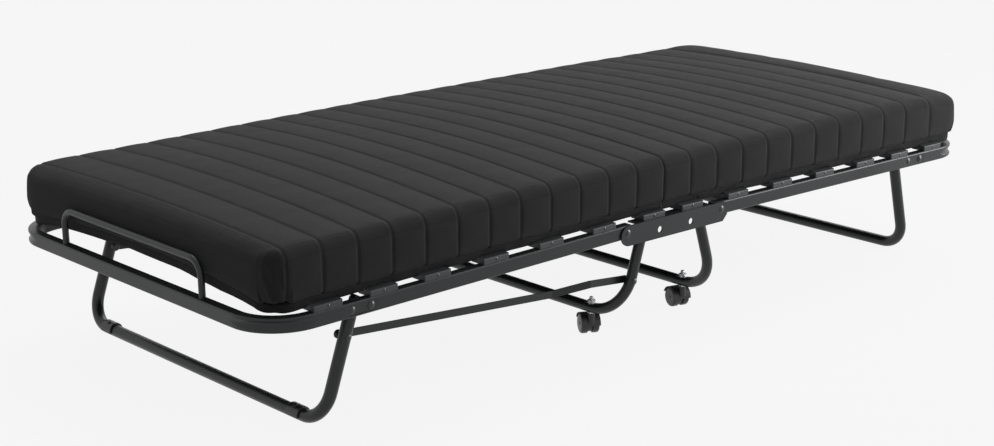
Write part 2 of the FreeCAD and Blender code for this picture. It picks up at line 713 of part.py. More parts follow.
# ---- mattress ------------------------------------------------------------------------------

def mattress_block(x0, x1, round_ends):
    """Plain stand-in for a stretch of mattress: arched under side, rounded upright corners."""
    half = half_width - mattress_side_inset
    body = block(x0, x1, -half, half, rail_top_z - 20, mattress_top_z)
    upright = [e for e in body.Edges if abs(e.tangentAt(e.FirstParameter).z) > 0.9
               and any(abs(e.CenterOfMass.x - x) < 0.1 for x in round_ends)]
    if upright:
        body = body.makeFillet(mattress_corner_radius, upright)
    top = [e for e in body.Edges if e.CenterOfMass.z > mattress_top_z - 0.1
           and not any(abs(e.CenterOfMass.x - x) < 0.1 for x in (x0, x1) if x not in round_ends)]
    body = body.makeFillet(mattress_edge_radius, top)
    radius = slat_arc_radius()
    centre_z = slat_underside_z() + slat_crown - radius
    under = Part.makeCylinder(radius + slat_thickness + cap_skin + mattress_seat, x1 - x0 + 2,
                              V(x0 - 1, 0, centre_z), V(1, 0, 0))
    return body.cut(under)


# ---- putting the halves in place -----------------------------------------------------------

def at_foot(shape):
    placed = shape.copy()
    placed.rotate(V(hinge_x, 0, hinge_z), V(0, 1, 0), foot_droop)
    return placed


def at_head(shape):
    placed = shape.mirror(V(0, 0, 0), V(1, 0, 0))
    placed.rotate(V(-hinge_x, 0, hinge_z), V(0, 1, 0), -head_droop)
    return placed


def drooped_hinge(angle):
    """Where a half's leg hinge lies once the half has drooped, for the foot end."""
    turn = math.radians(angle)
    dx = leg_hinge_x - hinge_x
    dz = leg_hinge_z - hinge_z
    return (hinge_x + dx * math.cos(turn) + dz * math.sin(turn),
            hinge_z - dx * math.sin(turn) + dz * math.cos(turn))


half_slat_x = [first_slat_x]
for pitch in slat_pitches:
    half_slat_x.append(half_slat_x[-1] + pitch)

rail = half_rail()
slats, caps, rivets = slat_set(half_slat_x)
brackets = both_sides(leg_bracket())
pins = leg_pins()
for end, put in (("head", at_head), ("foot", at_foot)):
    save(end + "_rail", put(rail))
    for number, body in enumerate(slats, 1):
        save(end + "_slat_" + str(number), put(body))
    save(end + "_slat_caps", [put(s) for s in caps])
    save(end + "_slat_rivets", [put(s) for s in rivets])
    save(end + "_leg_brackets", [put(s) for s in brackets])
    save(end + "_leg_rivets", [put(s) for s in pins])
save("guard_bar", at_head(guard_bar()))

centre_slats, centre_caps, centre_rivets = slat_set([-centre_slat_x, centre_slat_x])
save("centre_slat_head", centre_slats[0])
save("centre_slat_foot", centre_slats[1])
save("centre_slat_caps", centre_caps)
save("centre_slat_rivets", centre_rivets)

plate = hinge_plate()
save("hinge_plate_right", plate)
save("hinge_plate_left", mirrored_y(plate))
save("hinge_pins", hinge_pins())

foot_side_leg = centre_leg()
head_side_leg = foot_side_leg.mirror(V(0, 0, 0), V(1, 0, 0))
for one in both_sides(bar_y(link_centre_pin_x(), link_centre_z, link_pin_radius,
                            -half_width - 20, -centre_leg_y + 20)):
    head_side_leg = head_side_leg.cut(one)
save("centre_leg_head", head_side_leg)
save("centre_leg_foot", foot_side_leg)
save("link_hinge_pins", both_sides(link_centre_pin()))

stem, nut, hood, axle = caster_stem(), caster_nut(), caster_hood(), caster_axle()
save("caster_stems", [place_caster(stem, key) for key in caster_turn])
save("caster_nuts", [place_caster(nut, key) for key in caster_turn])
for key in caster_turn:
    save("caster_hood_" + key, place_caster(hood, key))
    save("caster_axle_" + key, place_caster(axle, key))
    save("caster_wheels_" + key, [place_caster(caster_wheel(side), key) for side in (-1, 1)])

head_hinge = drooped_hinge(head_droop)
head_leg = end_leg(head_leg_foot_x, head_leg_slope, head_hinge).mirror(V(0, 0, 0), V(1, 0, 0))
for one in both_sides(bar_y(link_leg_pin_x(), link_leg_z, link_pin_radius, -leg_y - 20, -leg_y + 20)):
    head_leg = head_leg.cut(one)
for y in (-clip_y, clip_y):
    head_leg = head_leg.cut(clip_screw_hole(y))
save("head_leg", head_leg)
save("head_leg_link_pins", both_sides(link_leg_pin()))
save("rest_clips", [rest_clip(y) for y in (-clip_y, clip_y)])
save("rest_clip_screws", [clip_screw(y) for y in (-clip_y, clip_y)])
save("foot_leg", end_leg(foot_leg_foot_x, foot_leg_slope, drooped_hinge(foot_droop)))

link = link_bar()
save("link_right", link)
save("link_left", mirrored_y(link))
save("link_nut_right", link_end_nut())
save("link_nut_left", mirrored_y(link_end_nut()))

mattress_end = half_length - mattress_end_inset
end_block = mattress_block(mattress_fold_x, mattress_end, [mattress_end])
save("mattress_head", at_head(end_block))
save("mattress_foot", at_foot(end_block))
fold_edge = mattress_fold_x - soft_clearance
save("mattress_centre", mattress_block(-fold_edge, fold_edge, []))
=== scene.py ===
import math
import bmesh
import bpy
import numpy as np
from mathutils import Matrix, Vector, noise


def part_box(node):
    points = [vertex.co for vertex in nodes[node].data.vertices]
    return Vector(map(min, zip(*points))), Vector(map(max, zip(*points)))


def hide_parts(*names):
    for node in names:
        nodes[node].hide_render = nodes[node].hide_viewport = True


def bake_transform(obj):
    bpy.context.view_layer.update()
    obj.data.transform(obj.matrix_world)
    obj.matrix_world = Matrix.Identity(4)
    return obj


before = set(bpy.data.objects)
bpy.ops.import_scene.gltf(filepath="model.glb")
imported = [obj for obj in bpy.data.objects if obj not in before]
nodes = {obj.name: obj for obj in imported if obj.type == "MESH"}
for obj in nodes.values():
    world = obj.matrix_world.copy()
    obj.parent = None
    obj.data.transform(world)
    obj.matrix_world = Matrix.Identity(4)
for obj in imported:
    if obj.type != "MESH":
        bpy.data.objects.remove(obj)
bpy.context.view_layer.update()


# ---- Bent steel: rails, legs, hinge plates, brackets, links and guard bar -------------------
# Rectangular and round mild-steel tube, bent and pierced, then powder coated satin black in one
# go with the plates and flat bars. The coat has a fine orange peel.

def new_material(name):
    """A material with its Principled shader, and its node tree's two handles."""
    material = bpy.data.materials.new(name)
    material.use_nodes = True
    tree = material.node_tree
    return material, tree.nodes, tree.links, tree.nodes["Principled BSDF"]


def grain_group():
    """Fine grain in object space: a height for bumps and a slow drift for colour and gloss."""
    group = bpy.data.node_groups.new("surface_grain", "ShaderNodeTree")
    face = group.interface
    face.new_socket("Vector", in_out="INPUT", socket_type="NodeSocketVector")
    face.new_socket("Grain Scale", in_out="INPUT", socket_type="NodeSocketFloat")
    face.new_socket("Drift Scale", in_out="INPUT", socket_type="NodeSocketFloat")
    face.new_socket("Grain", in_out="OUTPUT", socket_type="NodeSocketFloat")
    face.new_socket("Drift", in_out="OUTPUT", socket_type="NodeSocketFloat")
    nodes_in = group.nodes.new("NodeGroupInput")
    nodes_out = group.nodes.new("NodeGroupOutput")
    fine = group.nodes.new("ShaderNodeTexNoise")
    fine.inputs["Detail"].default_value = 2.0
    slow = group.nodes.new("ShaderNodeTexNoise")
    slow.inputs["Detail"].default_value = 3.0
    for texture, scale in ((fine, "Grain Scale"), (slow, "Drift Scale")):
        group.links.new(nodes_in.outputs["Vector"], texture.inputs["Vector"])
        group.links.new(nodes_in.outputs[scale], texture.inputs["Scale"])
    group.links.new(fine.outputs["Fac"], nodes_out.inputs["Grain"])
    group.links.new(slow.outputs["Fac"], nodes_out.inputs["Drift"])
    return group


surface_grain = grain_group()


def grain_at(parts, links, where, grain_scale, drift_scale):
    """Places the grain group on some coordinates."""
    grain = parts.new("ShaderNodeGroup")
    grain.node_tree = surface_grain
    grain.inputs["Grain Scale"].default_value = grain_scale
    grain.inputs["Drift Scale"].default_value = drift_scale
    links.new(where, grain.inputs["Vector"])
    return grain


def colour_between(parts, links, dark, light, share):
    """A colour that runs from dark to light with a share of 0 to 1."""
    colour = parts.new("ShaderNodeMix")
    colour.data_type = "RGBA"
    colour.inputs[6].default_value = (*dark, 1.0)
    colour.inputs[7].default_value = (*light, 1.0)
    links.new(share, colour.inputs["Factor"])
    return colour.outputs[2]


def grained_finish(name, dark, light, rough_low, rough_high, grain_scale, drift_scale, bump):
    """A finish whose colour and gloss drift slowly, with a fine grain raised on it."""
    material, parts, links, shader = new_material(name)
    place = parts.new("ShaderNodeTexCoord")
    grain = grain_at(parts, links, place.outputs["Object"], grain_scale, drift_scale)
    colour = colour_between(parts, links, dark, light, grain.outputs["Drift"])
    links.new(colour, shader.inputs["Base Color"])
    gloss = parts.new("ShaderNodeMapRange")
    gloss.inputs["From Min"].default_value = 0.3
    gloss.inputs["From Max"].default_value = 0.7
    gloss.inputs["To Min"].default_value = rough_low
    gloss.inputs["To Max"].default_value = rough_high
    links.new(grain.outputs["Drift"], gloss.inputs["Value"])
    links.new(gloss.outputs["Result"], shader.inputs["Roughness"])
    raised = parts.new("ShaderNodeBump")
    raised.inputs["Distance"].default_value = bump
    links.new(grain.outputs["Grain"], raised.inputs["Height"])
    links.new(raised.outputs["Normal"], shader.inputs["Normal"])
    return material


def paint(names, material):
    """Gives CAD nodes a finish."""
    for name in names:
        piece = nodes[name]
        if not piece.material_slots:
            piece.data.materials.append(material)
        for place in piece.material_slots:
            place.material = material


powder_coat = grained_finish("powder_coat", (0.009, 0.0105, 0.0118), (0.014, 0.0160, 0.0175),
                             0.30, 0.40, 700.0, 6.0, 0.00003)
powder_coat.node_tree.nodes["Principled BSDF"].inputs["Specular IOR Level"].default_value = 0.38
paint(["head_rail", "foot_rail", "guard_bar", "hinge_plate_right", "hinge_plate_left",
       "head_leg", "foot_leg", "centre_leg_head", "centre_leg_foot", "link_right", "link_left",
       "head_leg_brackets", "foot_leg_brackets"], powder_coat)


# ---- Rivets and pins -----------------------------------------------------------------------
# Cold-headed steel rivets, coated with the frame: a little glossier on their domes, where the
# coat has flowed thin.

rivet_finish = grained_finish("coated_rivets", (0.012, 0.013, 0.014), (0.021, 0.022, 0.023),
                              0.22, 0.32, 900.0, 60.0, 0.00004)
paint(["hinge_pins", "link_hinge_pins", "head_leg_link_pins", "head_leg_rivets", "foot_leg_rivets",
       "centre_slat_rivets", "head_slat_rivets", "foot_slat_rivets"], rivet_finish)


# ---- Casters -------------------------------------------------------------------------------
# Twin nylon wheels under a moulded hood. The threaded stem, its collar and the nut are bright
# zinc-plated steel, the axle and the clip screws are blackened steel.

wheel_nylon = grained_finish("wheel_nylon", (0.009, 0.009, 0.010), (0.016, 0.016, 0.017),
                             0.30, 0.42, 1200.0, 40.0, 0.00003)
hood_plastic = grained_finish("hood_plastic", (0.012, 0.012, 0.013), (0.020, 0.021, 0.022),
                              0.38, 0.50, 1500.0, 30.0, 0.00004)
black_steel = grained_finish("blackened_steel", (0.03, 0.03, 0.03), (0.06, 0.06, 0.06),
                             0.22, 0.34, 1500.0, 80.0, 0.00002)
black_steel.node_tree.nodes["Principled BSDF"].inputs["Metallic"].default_value = 0.8
caster_keys = ["head_right", "foot_right", "head_left", "foot_left"]
paint(["caster_wheels_" + key for key in caster_keys], wheel_nylon)
paint(["caster_hood_" + key for key in caster_keys] + ["link_nut_right", "link_nut_left"], hood_plastic)
paint(["caster_axle_" + key for key in caster_keys] + ["rest_clip_screws"], black_steel)


def zinc_with_thread():
    """Zinc plate with the stem's thread as fine rings round Z."""
    material = grained_finish("zinc_plate", (0.52, 0.53, 0.55), (0.70, 0.71, 0.72),
                              0.22, 0.38, 1800.0, 120.0, 0.00002)
    parts, links = material.node_tree.nodes, material.node_tree.links
    shader = parts["Principled BSDF"]
    shader.inputs["Metallic"].default_value = 1.0
    place = parts.new("ShaderNodeTexCoord")
    rings = parts.new("ShaderNodeTexWave")
    rings.wave_type = "BANDS"
    rings.bands_direction = "Z"
    rings.inputs["Scale"].default_value = 250.0
    rings.inputs["Distortion"].default_value = 0.0
    links.new(place.outputs["Object"], rings.inputs["Vector"])
    thread = parts.new("ShaderNodeBump")
    thread.inputs["Distance"].default_value = 0.0004
    links.new(rings.outputs["Fac"], thread.inputs["Height"])
    grain_bump = shader.inputs["Normal"].links[0].from_node
    links.new(grain_bump.outputs["Normal"], thread.inputs["Normal"])
    links.new(thread.outputs["Normal"], shader.inputs["Normal"])
    return material


zinc = zinc_with_thread()
paint(["caster_stems", "caster_nuts"], zinc)


# ---- Slats and their end caps --------------------------------------------------------------
# Bowed seven-layer plywood slats, stained black, each end pushed into a moulded cap that is
# riveted to the rail. The caps are a dark grey nylon, a shade lighter than the frame.

def stained_plywood():
    """Black stain over a veneer whose grain runs along the slat, across the bed."""
    material, parts, links, shader = new_material("stained_plywood")
    place = parts.new("ShaderNodeTexCoord")
    stretch = parts.new("ShaderNodeMapping")
    stretch.inputs["Scale"].default_value = (900.0, 18.0, 900.0)
    links.new(place.outputs["Object"], stretch.inputs["Vector"])
    veneer = parts.new("ShaderNodeTexNoise")
    veneer.inputs["Scale"].default_value = 1.0
    veneer.inputs["Detail"].default_value = 6.0
    links.new(stretch.outputs["Vector"], veneer.inputs["Vector"])
    colour = colour_between(parts, links, (0.007, 0.007, 0.007), (0.022, 0.021, 0.020),
                            veneer.outputs["Fac"])
    links.new(colour, shader.inputs["Base Color"])
    shader.inputs["Roughness"].default_value = 0.5
    raised = parts.new("ShaderNodeBump")
    raised.inputs["Distance"].default_value = 0.00015
    links.new(veneer.outputs["Fac"], raised.inputs["Height"])
    links.new(raised.outputs["Normal"], shader.inputs["Normal"])
    return material


plywood = stained_plywood()
half_slats = [end + "_slat_" + str(i) for end in ("head", "foot") for i in range(1, 7)]
all_slats = half_slats + ["centre_slat_head", "centre_slat_foot"]
paint(all_slats, plywood)
cap_nylon = grained_finish("cap_nylon", (0.018, 0.021, 0.0225), (0.028, 0.031, 0.033),
                           0.45, 0.58, 1400.0, 25.0, 0.00008)
paint(["head_slat_caps", "foot_slat_caps", "centre_slat_caps"], cap_nylon)


# ---- Rest clips ----------------------------------------------------------------------------
# Half rings of black polyethylene over the head leg's floor bar, which the folded bed rests on.

clip_plastic = grained_finish("clip_plastic", (0.010, 0.010, 0.011), (0.018, 0.018, 0.019),
                              0.28, 0.40, 1000.0, 30.0, 0.00004)
paint(["rest_clips"], clip_plastic)


# ---- Mattress cover ------------------------------------------------------------------------
# One foam mattress in a quilted knit cover, sewn crosswise into channels over the top and down
# the long sides, with plain end borders. It lies on the bowed slats, so it is arched across the
# bed. It is cut in two at the middle seam, into a head half and a foot half.

half_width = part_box("mattress_centre")[1].y
half_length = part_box("mattress_foot")[1].x - 0.0015
hinge_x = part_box("hinge_pins")[1].x - 0.007
head_droop = math.radians(0.95)
foot_droop = math.radians(0.5)
slat_rise = 0.021               # how far the slats bow up between the rails
top_rise = 0.007                # what is left of that bow on top of the mattress, at its ends
crown = 0.008                   # how much more the foam bulges between the ends
row_skew = 0.008                # how far a quilting row's left end lies nearer the foot
head_row_skew = 0.016           # and how much more in the head half
cover_top = 0.3325              # along the long edges, before the halves droop
lining_bottom = 0.2390
corner_sag = 0.0095             # the unsupported corners, beyond the last slat
foot_slump = 0.0065             # how far the worn right part of the foot end has sunk
foot_ease = 0.006               # how much longer the soft foot end is than its foam
cover_bottom = 0.2475           # seam to the lining, along the long edges
corner_radius = 0.034           # the cover's upright corners
top_edge_width = 0.020          # the rounded edge round the top
low_edge_width = 0.009          # and round the bottom
seam_count = 24
first_seam = -0.856
seam_pitch = 0.0707
seam_sway = 0.009
wide_last_channel = 0.009


def seam_x(number):
    """Where a quilting seam crosses the bed; the rows wander slightly along the cover."""
    even = first_seam + seam_pitch * number - seam_sway * math.sin(math.pi * number / 22)
    return even + wide_last_channel * max(0, number - 22)


seams = np.array([seam_x(number) for number in range(seam_count)])
middle_seam = seam_x(12)


def follow_frame(points):
    """Arches points across the bed over the slats, then lets the two ends droop with their halves."""
    x, y, z = points[:, 0].copy(), points[:, 1].copy(), points[:, 2].copy()
    height = np.clip((z - lining_bottom) / (cover_top - lining_bottom), 0, 1)
    bulge = crown * (1 - np.clip(np.abs(x) / half_length, 0, 1) ** 6)
    rise = slat_rise + (top_rise + bulge - slat_rise) * height
    z += rise * (1 - np.clip(np.abs(y) / half_width, 0, 1) ** 2)
    beyond = np.clip(np.abs(x) - hinge_x, 0, None)
    slope = np.where(x < 0, math.tan(head_droop), math.tan(foot_droop))
    z -= slope * (1 - np.where(x < 0, 0.4, 0.6) * height) * beyond
    past_last_slat = np.clip((np.abs(x) - 0.805) / 0.075, 0, 1)
    sag = corner_sag * (1 - 0.5 * height)
    z -= sag * past_last_slat ** 2 * np.clip(np.abs(y) / half_width, 0, 1) ** 5
    at_foot = np.clip((x - 0.60) / 0.27, 0, 1) ** 2
    z -= foot_slump * height * at_foot * np.clip(0.8 * (1 - y / half_width), 0, 1)
    x += foot_ease * np.clip((x - 0.70) / 0.17, 0, 1)
    return np.stack([x, y, z], 1)


def get_points(mesh):
    points = np.empty(len(mesh.vertices) * 3)
    mesh.vertices.foreach_get("co", points)
    return points.reshape(-1, 3)


def set_points(mesh, points):
    mesh.vertices.foreach_set("co", points.ravel())
    mesh.update()


def gridded_block(low, high, corner, corner_steps, top_edge, low_edge, cuts_x, cuts_y, cuts_z):
    """Block with rounded upright corners and softened top and bottom edges, cut into a grid."""
    form = bmesh.new()
    bmesh.ops.create_cube(form, size=1.0)
    middle = (low + high) / 2
    bmesh.ops.scale(form, vec=high - low, verts=form.verts)
    bmesh.ops.translate(form, vec=middle, verts=form.verts)
    upright = [e for e in form.edges if abs(e.verts[0].co.z - e.verts[1].co.z) > 0.001]
    bmesh.ops.bevel(form, geom=upright, offset=corner, segments=corner_steps, affect="EDGES",
                    profile=0.5, material=-1)
    for level, width, steps in ((high.z, top_edge, 5), (low.z, low_edge, 3)):
        rim = [e for e in form.edges if all(abs(v.co.z - level) < 1e-5 for v in e.verts)]
        bmesh.ops.bevel(form, geom=rim, offset=width, segments=steps, affect="EDGES",
                        profile=0.5, material=-1)
    for axis, cuts in (((1, 0, 0), cuts_x), ((0, 1, 0), cuts_y), ((0, 0, 1), cuts_z)):
        for cut in cuts:
            bmesh.ops.bisect_plane(form, geom=form.verts[:] + form.edges[:] + form.faces[:], dist=1e-5,
                                   plane_co=Vector(axis) * float(cut), plane_no=axis)
    return form


def mesh_piece(name, form):
    mesh = bpy.data.meshes.new(name)
    form.to_mesh(mesh)
    form.free()
    mesh.polygons.foreach_set("use_smooth", [True] * len(mesh.polygons))
    piece = bpy.data.objects.new(name, mesh)
    bpy.context.scene.collection.objects.link(piece)
    return piece


smoothing_rounds = 5            # takes the ripples out of the swelled cloth
channel_steps = (0.0, 0.0026, 0.009, 0.018, 0.027, 0.0353, 0.0437, 0.0527, 0.0617, 0.0681)
rings = [start + step for start in [seam_x(-1), *seams, seam_x(seam_count)] for step in channel_steps]
rings = sorted(set(round(r, 5) for r in rings if abs(r) < half_length - 0.004))
cover_form = gridded_block(Vector((-half_length, -half_width, cover_bottom)),
                           Vector((half_length, half_width, cover_top)),
                           corner_radius, 12, top_edge_width, low_edge_width, rings,
                           np.linspace(-0.375, 0.375, 76), np.linspace(0.257, 0.309, 6))
cover = mesh_piece("cover", cover_form)


def keep_flat_map(piece):
    """Stores each point's place on the flat cloth, for the knit to follow when it swells and bends."""
    at_rest = piece.data.attributes.new("at_rest", "FLOAT_VECTOR", "POINT")
    at_rest.data.foreach_set("vector", get_points(piece.data).ravel())


keep_flat_map(cover)


def nearest_seam(x):
    """Distance to the nearest quilting seam, for each x."""
    return np.abs(x[:, None] - seams[None, :]).min(1)


def inflate(piece, frames, cap):
    """Swells the cover between its seams with a short cloth run, and keeps the result in the mesh."""
    rest = get_points(piece.data)
    on_seam = nearest_seam(rest[:, 0]) < 0.0008
    at_bottom = rest[:, 2] < cover_bottom + 0.0075
    on_border = np.abs(rest[:, 0]) > half_length - 0.010
    held = (on_seam & ~on_border) | at_bottom
    pins = piece.vertex_groups.new(name="pins")
    pins.add([int(i) for i in np.nonzero(held)[0]], 1.0, "REPLACE")
    cloth = piece.modifiers.new("swell", "CLOTH")
    cloth.settings.quality = 4
    cloth.settings.mass = 0.25
    cloth.settings.tension_stiffness = 12.0
    cloth.settings.compression_stiffness = 12.0
    cloth.settings.shear_stiffness = 6.0
    cloth.settings.bending_stiffness = 0.4
    cloth.settings.shrink_min = -0.004
    cloth.settings.use_pressure = True
    cloth.settings.uniform_pressure_force = 4.0
    cloth.settings.vertex_group_mass = "pins"
    cloth.settings.effector_weights.gravity = 0.0
    cloth.collision_settings.use_collision = False
    cloth.point_cache.frame_start = 1
    cloth.point_cache.frame_end = frames
    for step in range(1, frames + 1):
        bpy.context.scene.frame_set(step)
    settled = piece.evaluated_get(bpy.context.evaluated_depsgraph_get())
    moved = get_points(settled.data) - rest
    piece.modifiers.remove(cloth)
    bpy.context.scene.frame_set(1)
    reach = np.linalg.norm(moved, axis=1)
    limited = cap * np.tanh(reach / cap) / np.maximum(reach, 1e-9)
    set_points(piece.data, rest + moved * limited[:, None])
    form = bmesh.new()
    form.from_mesh(piece.data)
    form.verts.ensure_lookup_table()
    loose = [form.verts[i] for i in np.nonzero(~held)[0]]
    for _ in range(smoothing_rounds):
        bmesh.ops.smooth_vert(form, verts=loose, factor=0.5,
                              use_axis_x=True, use_axis_y=True, use_axis_z=True)
    form.to_mesh(piece.data)
    form.free()


inflate(cover, 20, 0.0055)


def subdivided(piece):
    """Smooths the piece by one level and keeps the result."""
    smooth = piece.modifiers.new("smooth", "SUBSURF")
    smooth.levels = 1
    smooth.render_levels = 1
    final = bpy.data.meshes.new_from_object(piece.evaluated_get(bpy.context.evaluated_depsgraph_get()))
    piece.modifiers.clear()
    piece.vertex_groups.clear()
    piece.data = final
    return piece


subdivided(cover)


def normals_of(mesh):
    found = np.empty(len(mesh.vertices) * 3)
    mesh.vertices.foreach_get("normal", found)
    return found.reshape(-1, 3)


def noise_at(points, scale, offset):
    """Smooth noise for each point, the same in every run."""
    scaled = points * np.array(scale) + np.array(offset)
    return np.array([noise.noise(Vector(p)) for p in scaled])


def sew(piece):
    """Pulls the seams in, and puckers the cloth beside them where the thread gathers it."""
    points = get_points(piece.data)
    outward = normals_of(piece.data)
    distance = nearest_seam(points[:, 0])
    on_end = np.clip((np.abs(points[:, 0]) - half_length + 0.020) / 0.012, 0, 1)
    groove = -0.0018 * np.exp(-(distance / 0.0026) ** 2)
    beside = np.exp(-distance / 0.007) * (1 - np.exp(-(distance / 0.003) ** 2))
    number = np.abs(points[:, 0][:, None] - seams[None, :]).argmin(1)
    side = np.sign(points[:, 0] - seams[number])
    shifted = np.stack([number * 3.7 + side * 0.9, points[:, 1], points[:, 2]], 1)
    pucker = 0.0008 * beside * noise_at(shifted, (1, 60, 60), (0, 0, 0))
    drape = 0.0010 * noise_at(points, (6, 3, 6), (3.1, 0.4, 2.2))
    amount = (groove + pucker) * (1 - on_end) + drape
    set_points(piece.data, points + outward * amount[:, None])


sew(cover)


def fold_corners(piece):
    """Two soft folds down each corner, where the cover is gathered to go round it."""
    points = get_points(piece.data)
    outward = normals_of(piece.data)
    across = np.abs(points[:, 1]) - (half_width - corner_radius)
    along = np.abs(points[:, 0]) - (half_length - corner_radius)
    turn = np.degrees(np.arctan2(along, across))
    near = (across > 0) & (along > -0.004)
    down = np.clip((0.318 - points[:, 2]) / 0.05, 0, 1)
    lean = 58 - 34 * np.clip((0.300 - points[:, 2]) / 0.05, 0, 1) ** 1.5
    fold = np.zeros(len(points))
    for offset, depth in ((0, 0.0032), (-30, 0.0018)):
        from_fold = turn - lean - offset
        fold -= depth * np.exp(-(from_fold / 6.0) ** 2)
        fold += 0.8 * depth * np.exp(-((from_fold - 14.0) / 8.0) ** 2)
    tuck = 0.008 * np.clip((0.282 - points[:, 2]) / 0.035, 0, 1) ** 2
    amount = np.where(near, fold * down * np.sin(np.pi * np.clip(down, 0.0, 0.9)) ** 0.5 - tuck, 0)
    set_points(piece.data, points + outward * amount[:, None])


fold_corners(cover)
cover_points = get_points(cover.data)
cover_points[:, 0] = np.clip(cover_points[:, 0], -half_length - 0.0025, half_length + 0.006)
set_points(cover.data, follow_frame(cover_points))


def cut_in_two(piece, names):
    """Splits a piece at the middle seam into a head half and a foot half, each closed."""
    halves = []
    for name, side in zip(names, (1, -1)):
        form = bmesh.new()
        form.from_mesh(piece.data)
        bmesh.ops.bisect_plane(form, geom=form.verts[:] + form.edges[:] + form.faces[:], dist=1e-6,
                               plane_co=(middle_seam, 0, 0), plane_no=(side, 0, 0), clear_outer=True)
        rim = [e for e in form.edges if e.is_boundary]
        bmesh.ops.holes_fill(form, edges=rim, sides=0)
        halves.append(mesh_piece(name, form))
    bpy.data.objects.remove(piece)
    return halves


cover_halves = cut_in_two(cover, ["mattress_cover_head", "mattress_cover_foot"])


def skew_rows(piece):
    """Turns the quilting rows slightly across the bed, less and less towards the two ends."""
    points = get_points(piece.data)
    across = np.clip((points[:, 1] + half_width) / (2 * half_width), 0, 1)
    in_head = np.clip((-points[:, 0] - 0.05) / 0.35, 0, 1)
    inside = 1 - np.clip(np.abs(points[:, 0]) / half_length, 0, 1) ** 6
    points[:, 0] += (row_skew + head_row_skew * in_head) * inside * across
    set_points(piece.data, points)


for half in cover_halves:
    skew_rows(half)


def charcoal_knit(name, dark, light, rough):
    """Fine weft knit: tiny ribs and loops on the resting cloth, with a soft sheen."""
    material, parts, links, shader = new_material(name)
    flat = parts.new("ShaderNodeAttribute")
    flat.attribute_name = "at_rest"
    grain = grain_at(parts, links, flat.outputs["Vector"], 420.0, 9.0)
    colour = colour_between(parts, links, dark, light, grain.outputs["Drift"])
    loops = None
    for direction, pitch in (("X", 0.0011), ("Y", 0.0013), ("Z", 0.0013)):
        rows = parts.new("ShaderNodeTexWave")
        rows.bands_direction = direction
        rows.inputs["Scale"].default_value = math.pi / 10 / pitch
        rows.inputs["Distortion"].default_value = 0.6
        rows.inputs["Detail Scale"].default_value = 2.0
        links.new(flat.outputs["Vector"], rows.inputs["Vector"])
        if loops is None:
            loops = rows.outputs["Fac"]
            continue
        both = parts.new("ShaderNodeMath")
        links.new(loops, both.inputs[0])
        links.new(rows.outputs["Fac"], both.inputs[1])
        loops = both.outputs["Value"]
    between = parts.new("ShaderNodeMapRange")
    between.inputs["From Max"].default_value = 3.0
    between.inputs["To Min"].default_value = 0.6
    between.inputs["To Max"].default_value = 1.25
    links.new(loops, between.inputs["Value"])
    shade = parts.new("ShaderNodeMix")
    shade.data_type = "RGBA"
    shade.blend_type = "MULTIPLY"
    shade.inputs["Factor"].default_value = 1.0
    links.new(colour, shade.inputs[6])
    links.new(between.outputs["Result"], shade.inputs[7])
    links.new(shade.outputs[2], shader.inputs["Base Color"])
    shader.inputs["Roughness"].default_value = rough
    shader.inputs["Sheen Weight"].default_value = 0.09
    shader.inputs["Sheen Roughness"].default_value = 0.45
    shader.inputs["Specular IOR Level"].default_value = 0.12
    raised = parts.new("ShaderNodeBump")
    raised.inputs["Distance"].default_value = 0.00018
    links.new(loops, raised.inputs["Height"])
    soft = parts.new("ShaderNodeBump")
    soft.inputs["Distance"].default_value = 0.0002
    links.new(grain.outputs["Grain"], soft.inputs["Height"])
    links.new(raised.outputs["Normal"], soft.inputs["Normal"])
    links.new(soft.outputs["Normal"], shader.inputs["Normal"])
    return material


knit = charcoal_knit("charcoal_knit", (0.0145, 0.0145, 0.016), (0.0215, 0.0215, 0.0230), 0.9)
for half, body, cad_node, side in ((cover_halves[0], "head_half", "mattress_head", -1),
                                   (cover_halves[1], "foot_half", "mattress_foot", 1)):
    half.data.materials.append(knit)
    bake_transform(half)
    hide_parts(cad_node)
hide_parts("mattress_centre")


# ---- Mattress lining -----------------------------------------------------------------------
# Plain black lining under the foam, sewn to the cover all round. It is coloured darker than the cover's
# knit, and that extra darkness is painted shade for the recess under the cover's bulging side. Its edge
# hangs a little below the cover and sags between the slats' caps, with small gathers along the seam.

slat_middles = np.array([(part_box(name)[0].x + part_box(name)[1].x) / 2 for name in all_slats])
cap_edges = [m + step for m in slat_middles for step in (-0.0305, -0.0287, 0.0287, 0.0305)]
lining_cuts = sorted(set(np.arange(-0.870, 0.871, 0.0075).round(4)) | set(np.round(cap_edges, 4)))
lining_form = gridded_block(Vector((-half_length + 0.005, -half_width + 0.0035, lining_bottom)),
                            Vector((half_length - 0.005, half_width - 0.0035, cover_bottom + 0.002)),
                            0.046, 10, 0.002, 0.003, lining_cuts,
                            np.linspace(-0.36, 0.36, 25), [0.2425, 0.2452])
lining = mesh_piece("lining", lining_form)
keep_flat_map(lining)


